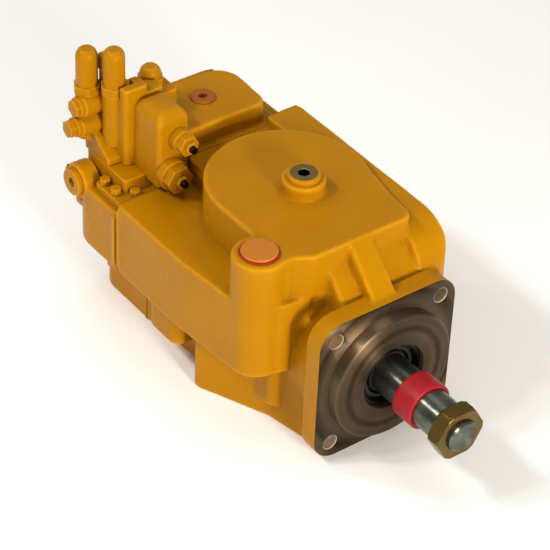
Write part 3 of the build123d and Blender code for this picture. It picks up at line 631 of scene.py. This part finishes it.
@dataclass(frozen=True)
class Brick:
    """A box between two corners."""

    low: Tuple[float, float, float]
    high: Tuple[float, float, float]

    def holds(self, points: np.ndarray) -> np.ndarray:
        """Find the points inside.

        Args:
            points: one row of x, y and z in millimetres for each point.

        Returns:
            True for each point that lies in the box.
        """
        return ((points > np.array(self.low)) & (points < np.array(self.high))).all(1)

    def join(self, work: bmesh.types.BMesh) -> None:
        """Add the box to a mesh, to be fused with it by the skin.

        Args:
            work: the mesh being built.
        """
        size = [(b - a) * MM for a, b in zip(self.low, self.high)]
        middle = [(a + b) / 2 * MM for a, b in zip(self.low, self.high)]
        place = Matrix.Translation(middle) @ Matrix.Diagonal((*size, 1.0))
        bmesh.ops.create_cube(work, size=1.0, matrix=place)


@dataclass
class CastSkin:
    """The outer skin of a casting or fitting, with the round corners of a mould or of thick paint.

    Attributes:
        name: the piece's name.
        nodes: the CAD nodes that it stands for.
        finish: its finish.
        voxel: the mesh's cell size.
        rounds: how many smoothing passes round its corners.
        soft_rounds: how many more the soft boxes get.
        waviness: how far its flats undulate.
        zones: bores that stay true.
        planes: joint faces that stay true, as y values.
        band: how far from a joint face a vertex still belongs to it.
        ribs: raised bands added to the casting.
        soft: boxes whose corners blend more.
        bare: zones with a finish of their own.
        keep: the stretch along y that is kept.
        body: the body that it rides on.
        slot: a material slot name, which is not used.
    """

    name: str
    nodes: Sequence[str]
    finish: str
    voxel: float = 1.2
    rounds: int = 8
    soft_rounds: int = 40
    waviness: float = 0.1
    zones: Sequence[Zone] = ()
    planes: Sequence[float] = ()
    band: float = 1.6
    ribs: Sequence[Brick] = ()
    soft: Sequence[Brick] = ()
    bare: Sequence[Tuple[Zone, str]] = ()
    keep: Tuple[float, float] = WHOLE
    body: str = CASE
    slot: str = ""

    def make(self, palette: Palette) -> bpy.types.Object:
        """Build the skin, dress it and put it on its body.

        Args:
            palette: the pump's finishes.

        Returns:
            The finished piece.
        """
        piece = self.coat()
        mesh = piece.data
        points = corners_of(mesh)
        pairs = np.zeros(len(mesh.edges) * 2, np.int32)
        mesh.edges.foreach_get("vertices", pairs)
        pairs = pairs.reshape(-1, 2)
        fixed = np.zeros(len(points), bool)
        for zone in self.zones:
            fixed |= zone.holds(points)
        for plane in self.planes:
            fixed |= np.abs(points[:, 1] - plane) < self.band
        free = 1.0 - fixed.astype(float)
        points = relax(points, pairs, free, self.rounds)
        for brick in self.soft:
            points = relax(points, pairs, free * brick.holds(points), self.soft_rounds)
        tree = self.surface_tree()
        for index in np.nonzero(fixed)[0]:
            hit = tree.find_nearest(Vector(points[index] * MM))
            points[index] = np.array(hit[0]) / MM
        relief = self.relief(mesh, points, pairs, free)
        points = self.wave(mesh, points, free)
        move_corners(mesh, points)
        layer = mesh.attributes.new("relief", "FLOAT", "POINT")
        layer.data.foreach_set("value", relief.astype(np.float32))
        if self.keep != WHOLE:
            self.cut(mesh)
        mesh.polygons.foreach_set("use_smooth", [True] * len(mesh.polygons))
        palette.dress(piece, self.finish, *[finish for _, finish in self.bare])
        self.rub(mesh)
        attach(piece, self.body)
        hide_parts(*self.nodes)
        LOG.info("%s: %d faces", self.name, len(mesh.polygons))
        return piece

    def coat(self) -> bpy.types.Object:
        """Fuse the nodes and ribs into one even skin of small cells."""
        source = closed_copy(self.nodes, self.name)
        if self.ribs:
            work = bmesh.new()
            work.from_mesh(source)
            for rib in self.ribs:
                rib.join(work)
            work.to_mesh(source)
            work.free()
        piece = show(self.name, source)
        remesh = piece.modifiers.new("skin", "REMESH")
        remesh.mode = "VOXEL"
        remesh.voxel_size = self.voxel * MM
        return applied(piece)

    def surface_tree(self) -> BVHTree:
        """A search tree of the CAD surface."""
        work = bmesh.new()
        for node in self.nodes:
            work.from_mesh(frame["nodes"][node].data)
        tree = BVHTree.FromBMesh(work)
        work.free()
        return tree

    def normals(self, mesh: bpy.types.Mesh, points: np.ndarray) -> np.ndarray:
        """Unit vertex normals for these vertex places."""
        move_corners(mesh, points)
        flat = np.zeros(len(points) * 3, np.float32)
        mesh.vertices.foreach_get("normal", flat)
        return flat.reshape(-1, 3).astype(float)

    def relief(self, mesh: bpy.types.Mesh, points: np.ndarray, pairs: np.ndarray,
               free: np.ndarray) -> np.ndarray:
        """How far each vertex stands out of its surroundings: about +1 on an edge and -1 in a corner."""
        smooth = relax(points, pairs, free, 14, 0.6)
        out = ((points - smooth) * self.normals(mesh, points)).sum(1)
        return np.clip(out / (0.55 * self.voxel), -1.5, 1.5)

    def wave(self, mesh: bpy.types.Mesh, points: np.ndarray, free: np.ndarray) -> np.ndarray:
        """Let the flats undulate a little, as a cast face does."""
        swell = np.zeros(len(points))
        draw = np.random.default_rng(7)
        for length in SWELLS:
            heading = draw.normal(size=3)
            heading /= np.linalg.norm(heading)
            phase = draw.uniform(0, 6.28)
            swell += np.sin(points @ heading * 2 * math.pi / length + phase) * length / SWELLS[0]
        rise = self.waviness / 2 * free * (swell - 1)
        return points + self.normals(mesh, points) * rise[:, None]

    def rub(self, mesh: bpy.types.Mesh) -> None:
        """Give the faces in each bare zone its own finish."""
        if not self.bare:
            return
        centres = np.zeros(len(mesh.polygons) * 3, np.float64)
        mesh.polygons.foreach_get("center", centres)
        centres = centres.reshape(-1, 3) / MM
        chosen = np.zeros(len(centres), np.int32)
        for index, (zone, _) in enumerate(self.bare):
            chosen[zone.holds(centres)] = index + 1
        mesh.polygons.foreach_set("material_index", chosen)

    def cut(self, mesh: bpy.types.Mesh) -> None:
        """Trim the skin to its kept stretch along Y."""
        work = bmesh.new()
        work.from_mesh(mesh)
        for place, outward in ((self.keep[0], -1.0), (self.keep[1], 1.0)):
            geometry = list(work.verts) + list(work.edges) + list(work.faces)
            bmesh.ops.bisect_plane(work, geom=geometry, plane_co=(0, place * MM, 0),
                                   plane_no=(0, outward, 0), clear_outer=True)
        work.to_mesh(mesh)
        work.free()


@dataclass
class MachinedEnd:
    """The crisp machined end of a casting: a slice of its true shape with its edges broken.

    Attributes:
        name: the piece's name.
        node: the CAD node that it is cut from.
        place: the y value where it starts.
        outward: -1 for the casting's front end, 1 for its rear end.
        judge: says how a face is left, from its centre and its normal.
        finishes: the end's finishes, in the order of Face.
        edge: how far its edges are broken.
    """

    name: str
    node: str
    place: float
    outward: float
    judge: Callable[[Vector, Vector], Face]
    finishes: Sequence[str]
    edge: float = 0.5

    def make(self, palette: Palette) -> bpy.types.Object:
        """Build the slice and give its faces their finishes.

        Args:
            palette: the pump's finishes.

        Returns:
            The finished piece.
        """
        mesh = closed_copy([self.node], self.name)
        work = bmesh.new()
        work.from_mesh(mesh)
        geometry = list(work.verts) + list(work.edges) + list(work.faces)
        bmesh.ops.bisect_plane(work, geom=geometry, plane_co=(0, self.place * MM, 0),
                               plane_no=(0, -self.outward, 0), clear_outer=True)
        bmesh.ops.dissolve_limit(work, angle_limit=math.radians(1.0), verts=work.verts, edges=work.edges)
        work.to_mesh(mesh)
        work.free()
        piece = show(self.name, mesh)
        bevel = piece.modifiers.new("edge", "BEVEL")
        bevel.width = self.edge * MM
        bevel.segments = 2
        bevel.limit_method = "ANGLE"
        bevel.angle_limit = math.radians(35)
        applied(piece)
        mesh = piece.data
        palette.dress(piece, *self.finishes)
        for polygon in mesh.polygons:
            polygon.material_index = self.judge(Vector(polygon.center) / MM, Vector(polygon.normal)).value
            polygon.use_smooth = True
        mesh.set_sharp_from_angle(angle=math.radians(32))
        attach(piece, CASE)
        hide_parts(self.node)
        LOG.info("%s: %d faces", self.name, len(mesh.polygons))
        return piece


# --------------------------------------------------------------------------- the pump


@dataclass(frozen=True)
class Port:
    """A rear port with its four tapped holes.

    Attributes:
        x: its place across the pump.
        bore: its radius.
        across: the holes' spacing across the pump.
        up: the holes' spacing up and down.
        tapped: a tapped hole's radius.
        seal: the radius of the bare ring round the bore.
    """

    x: float
    bore: float
    across: float
    up: float
    tapped: float
    seal: float

    def zones(self) -> List[Zone]:
        """The port's bore, then its tapped holes."""
        holes = [(self.x + i * self.across / 2, j * self.up / 2) for i in SIGNS for j in SIGNS]
        bore = Zone(1, (self.x, 0.0), self.bore + 2.1, (270.0, 335.0))
        return [bore] + [Zone(1, hole, self.tapped + 1.2, (300.0, 335.0)) for hole in holes]

    def near(self, place: Vector) -> bool:
        """Whether a point lies on the port's bare sealing ring or in its bore."""
        return math.hypot(place.x - self.x, place.z) < self.seal


@dataclass
class Castings:
    """The painted castings: housing, port block and the compensator's body and base."""

    flange_cut: float = 2.4
    rear_cut: float = 327.4
    lap: float = 0.3
    joint: float = 250.0
    bolt_half: float = 57.25
    bolt_hole: float = 7.15
    pilot_radius: float = 63.5
    suction: Port = Port(50.0, 25.4, 42.9, 77.8, 5.0, 30.0)
    pressure: Port = Port(-52.0, 15.9, 31.8, 66.7, 6.0, 21.0)

    def build(self, palette: Palette) -> None:
        """Build every casting.

        Args:
            palette: the pump's finishes.
        """
        self.housing(palette)
        self.port_block(palette)
        self.compensator(palette)

    def bolt_places(self) -> List[Tuple[float, float]]:
        """The x and z of the mounting flange's four holes."""
        return [(i * self.bolt_half, j * self.bolt_half) for i in SIGNS for j in SIGNS]

    def bolt_zones(self) -> List[Zone]:
        """The four holes of the mounting flange."""
        return [Zone(1, place, self.bolt_hole + 1.2, (-20.0, 21.0)) for place in self.bolt_places()]

    def housing(self, palette: Palette) -> None:
        """The main casting and its machined mounting face."""
        barrel = Zone(1, (0.0, 0.0), 71.0, (44.0, 252.0))
        seal = Zone(1, (0.0, 0.0), 44.5, (-20.0, 60.0))
        servo = Zone(1, (0.0, 80.0), 13.5, (30.0, 252.0))
        resting_strip = Zone(1, (0.0, -80.0), 13.5, (30.0, 252.0))
        rib = Brick((-117.2, 242.5, 3.0), (-108.0, 249.4, 66.0))
        throat = Brick((-66.0, 23.0, 40.0), (66.0, 58.0, 112.0))
        # The bolt holes' walls take the pale drilled steel, partly bare metal and partly a painted highlight.
        walls = [(zone, "bright_bore") for zone in self.bolt_zones()]
        CastSkin("housing_casting", ["housing"], "painted_casting", 1.2, 9, waviness=0.14,
                 zones=self.bolt_zones() + [barrel, seal, servo, resting_strip], planes=(self.joint,),
                 ribs=[rib], soft=[throat], soft_rounds=16, bare=walls,
                 keep=(self.flange_cut, WHOLE[1])).make(palette)
        MachinedEnd("flange_machined_face", "housing", self.flange_cut + self.lap, -1.0, self.flange_finish,
                    ["painted_casting", "turned_face", "bright_bore"]).make(palette)

    def flange_finish(self, centre: Vector, normal: Vector) -> Face:
        """How a face of the flange's front is left.

        Args:
            centre: the face's centre, in millimetres.
            normal: its direction.

        Returns:
            Bright in the bolt holes, painted round the rim and turned elsewhere.
        """
        for x, z in self.bolt_places():
            if math.hypot(centre.x - x, centre.z - z) < self.bolt_hole + 0.7:
                return Face.BORE
        on_rim = abs(normal.y) < 0.3 and math.hypot(centre.x, centre.z) > self.pilot_radius + 3
        return Face.PAINT if on_rim else Face.BARE

    def port_block(self, palette: Palette) -> None:
        """The rear casting and its machined port face."""
        suction_bore, *suction_holes = self.suction.zones()
        pressure_bore, *pressure_holes = self.pressure.zones()
        valve_face = Zone(1, (0.0, 0.0), 46.0, (240.0, 300.0))
        rib = Brick((-117.2, 250.6, 3.0), (-108.0, 257.0, 54.0))
        CastSkin("port_block_casting", ["port_block"], "painted_casting", 1.2, 9, waviness=0.12,
                 zones=[suction_bore, pressure_bore, valve_face] + suction_holes + pressure_holes,
                 planes=(self.joint,), ribs=[rib], keep=(WHOLE[0], self.rear_cut)).make(palette)
        MachinedEnd("port_face", "port_block", self.rear_cut - self.lap, 1.0, self.port_finish,
                    ["painted_casting", "bright_bore"]).make(palette)

    def port_finish(self, centre: Vector, normal: Vector) -> Face:
        """How a face of the rear end is left.

        Args:
            centre: the face's centre, in millimetres.
            normal: its direction.

        Returns:
            Bare at the two ports and painted elsewhere.
        """
        return Face.BARE if self.suction.near(centre) or self.pressure.near(centre) else Face.PAINT

    def compensator(self, palette: Palette) -> None:
        """The valve's stepped body and the base plate under it."""
        body = CastSkin("compensator_casting", ["compensator_body"], "painted_casting", 0.7, 7, waviness=0.06)
        foot = CastSkin("compensator_foot", ["compensator_base"], "painted_casting", 0.7, 6, waviness=0.05)
        body.make(palette)
        foot.make(palette)


@dataclass
class Fittings:
    """Painted caps, plugs and screws, the plastic caps and the shaft's nut and ring."""

    fine: float = 0.42
    painted: Tuple[str, ...] = (
        "tall_domed_caps", "short_domed_cap", "side_plugs", "cross_plug", "pressure_cap", "flow_cap",
        "lock_nuts", "base_screws", "case_plug", "spool_end_plugs", "housing_bolts",
    )

    def plug_zones(self) -> List[Tuple[Zone, str]]:
        """The case plug's worn bare top, and dark steel at the bottom of its socket as painted shade of the
        recess.
        """
        top = Zone(2, (0.0, 128.0), 12.5, (133.8, 140.0))
        # The dark steel in the socket is a painted shade of the hex recess.
        socket = Zone(2, (0.0, 128.0), 6.6, (120.0, 133.8))
        return [(top, "plug_grey"), (socket, "dark_steel")]

    def build(self, palette: Palette) -> None:
        """Build every fitting.

        Args:
            palette: the pump's finishes.
        """
        for node in self.painted:
            bare = self.plug_zones() if node == "case_plug" else ()
            self.skin(node + "_painted", node, "painted_fitting", 5, bare=bare).make(palette)
        self.skin("drain_cap_moulded", "drain_cap", "tan_plastic", 4).make(palette)
        self.skin("gauge_plug_moulded", "gauge_plug", "rust_plastic", 3, slot="tan_plastic").make(palette)
        self.skin("drain_seal_moulded", "drain_seal", "red_rubber", 3).make(palette)
        self.skin("shipping_ring_moulded", "shipping_ring", "red_plastic", 5, body=ROTOR).make(palette)
        self.skin("shaft_nut_plated", "shaft_nut", "zinc_nut", 3, body=ROTOR).make(palette)

    def skin(self, name: str, node: str, finish: str, rounds: int, **more: Any) -> CastSkin:
        """Describe one fitting's skin.

        Args:
            name: the piece's name.
            node: the CAD node that it stands for.
            finish: its finish.
            rounds: how many smoothing passes round its corners.
            more: other values of the skin.

        Returns:
            The skin, not made yet.
        """
        return CastSkin(name, [node], finish, self.fine, rounds, waviness=0.0, **more)


class InnerParts:
    """The carried-over CAD nodes, each dressed in its record's finish."""

    def build(self, palette: Palette, shown: Sequence[str]) -> None:
        """Dress every CAD node that is still shown.

        Args:
            palette: the pump's finishes.
            shown: names of the nodes that stay.
        """
        slots = {part["node"]: part["material_slot"] for part in frame["record"]["subparts"]}
        for node in shown:
            piece = frame["nodes"][node]
            palette.dress(piece, slots[node])
            LOG.info("%s: %s", node, slots[node])


@dataclass
class SpoolSpring:
    """A compensator spring, which stays at its rest length as its spool moves."""

    node: str
    joint: str
    fixed_end: Tuple[float, float, float]
    length: float = 15.0
    stroke: float = 2.5

    def make(self, palette: Palette) -> bpy.types.Object:
        """Build the spring and put it on the pump case.

        Args:
            palette: the pump's finishes.

        Returns:
            The finished piece.
        """
        piece = show(self.node + "_wire", closed_copy([self.node], self.node + "_wire"))
        mesh = piece.data
        mesh.polygons.foreach_set("use_smooth", [True] * len(mesh.polygons))
        palette.dress(piece, "spring_steel")
        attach(piece, CASE)
        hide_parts(self.node)
        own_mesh(piece)
        LOG.info("%s: %d faces", piece.name, len(mesh.polygons))
        return piece


@dataclass(frozen=True)
class Panel:
    """A square light panel: where it stands, its edge length, its watts and its colour."""

    name: str
    place: Tuple[float, float, float]
    size: float
    power: float
    colour: str = "#FFFFFF"


@dataclass
class Studio:
    """Floor, lights, surroundings and camera."""

    floor_z: float = -76.0
    floor_half: float = 6000.0
    camera_mm: Tuple[float, float, float] = (-1098.0, -1239.0, 1402.0)
    right: Tuple[float, float, float] = (0.804, -0.593, 0.037)
    up: Tuple[float, float, float] = (0.344, 0.516, 0.784)
    lens: float = 162.0
    target: Tuple[float, float, float] = (0.0, 120.0, 20.0)
    panels: Tuple[Panel, ...] = (
        Panel("key_light", (-230.0, -1900.0, 620.0), 420.0, 31.0, "#FFF8EC"),
        Panel("front_strip", (-330.0, -1850.0, 330.0), 160.0, 15.0, "#FFFDF8"),
        Panel("shaft_light", (-1180.0, 620.0, 1500.0), 200.0, 10.0, "#FFFDF8"),
        Panel("stub_light", (-1180.0, 300.0, 1500.0), 200.0, 6.0, "#FFFDF8"),
        Panel("rear_light", (-950.0, 1350.0, 1400.0), 260.0, 6.0),
        Panel("top_light", (300.0, 300.0, 2100.0), 900.0, 6.0),
    )

    def build(self, palette: Palette) -> None:
        """Build the whole set.

        Args:
            palette: the pump's finishes.
        """
        self.floor(palette)
        self.surroundings()
        for panel in self.panels:
            self.light(panel)
        self.camera()

    def floor(self, palette: Palette) -> None:
        """A wide sheet of paper under the pump."""
        work = bmesh.new()
        bmesh.ops.create_grid(work, x_segments=8, y_segments=8, size=self.floor_half * MM)
        mesh = bpy.data.meshes.new("studio_floor")
        work.to_mesh(mesh)
        work.free()
        sheet = show("studio_floor", mesh)
        sheet.location = (0.0, 0.0, self.floor_z * MM)
        palette.dress(sheet, "floor")

    def surroundings(self) -> None:
        """Soft white light from all around."""
        world = bpy.data.worlds.new("studio_air")
        bpy.context.scene.world = world
        world.use_nodes = True
        backdrop = world.node_tree.nodes["Background"]
        backdrop.inputs["Color"].default_value = linear("#FFFDF8")
        backdrop.inputs["Strength"].default_value = 0.47

    def light(self, panel: Panel) -> None:
        """Set up one panel, aimed at the pump, its length along the shaft where it can be.

        Args:
            panel: the light panel.
        """
        data = bpy.data.lights.new(panel.name, "AREA")
        data.shape = "RECTANGLE"
        data.size = panel.size * MM
        data.size_y = panel.size * MM
        data.energy = panel.power
        data.color = linear(panel.colour)[:3]
        lamp = bpy.data.objects.new(panel.name, data)
        bpy.context.scene.collection.objects.link(lamp)
        spot = Vector(panel.place) * MM
        back = (spot - Vector(self.target) * MM).normalized()
        along = Vector((0.0, 1.0, 0.0)) if abs(back.y) < 0.8 else Vector((1.0, 0.0, 0.0))
        along = (along - back * along.dot(back)).normalized()
        turn = Matrix((along, back.cross(along), back)).transposed()
        lamp.matrix_world = Matrix.Translation(spot) @ turn.to_4x4()

    def camera(self) -> None:
        """The camera, at the angle the pump is seen from."""
        data = bpy.data.cameras.new("view")
        data.lens = self.lens
        data.sensor_width = 36.0
        data.clip_end = 50.0
        eye = bpy.data.objects.new("view", data)
        bpy.context.scene.collection.objects.link(eye)
        right = Vector(self.right).normalized()
        up = Vector(self.up)
        up = (up - right * up.dot(right)).normalized()
        back = right.cross(up)
        turn = Matrix((right, up, back)).transposed()
        eye.matrix_world = Matrix.Translation(Vector(self.camera_mm) * MM) @ turn.to_4x4()
        bpy.context.scene.camera = eye
        bpy.context.scene.view_settings.view_transform = "Standard"


def main() -> None:
    """Build every piece in order."""
    palette = Palette()
    Castings().build(palette)
    Fittings().build(palette)
    SpoolSpring("pressure_spring", "pressure_spool_stroke", (-64.0, 231.0, 93.0)).make(palette)
    SpoolSpring("flow_spring", "flow_spool_stroke", (-55.0, 231.0, 127.0)).make(palette)
    shown = [name for name, node in sorted(frame["nodes"].items()) if not node.hide_render]
    InnerParts().build(palette, shown)
    Studio().build(palette)


if __name__ == "__main__":
    main()
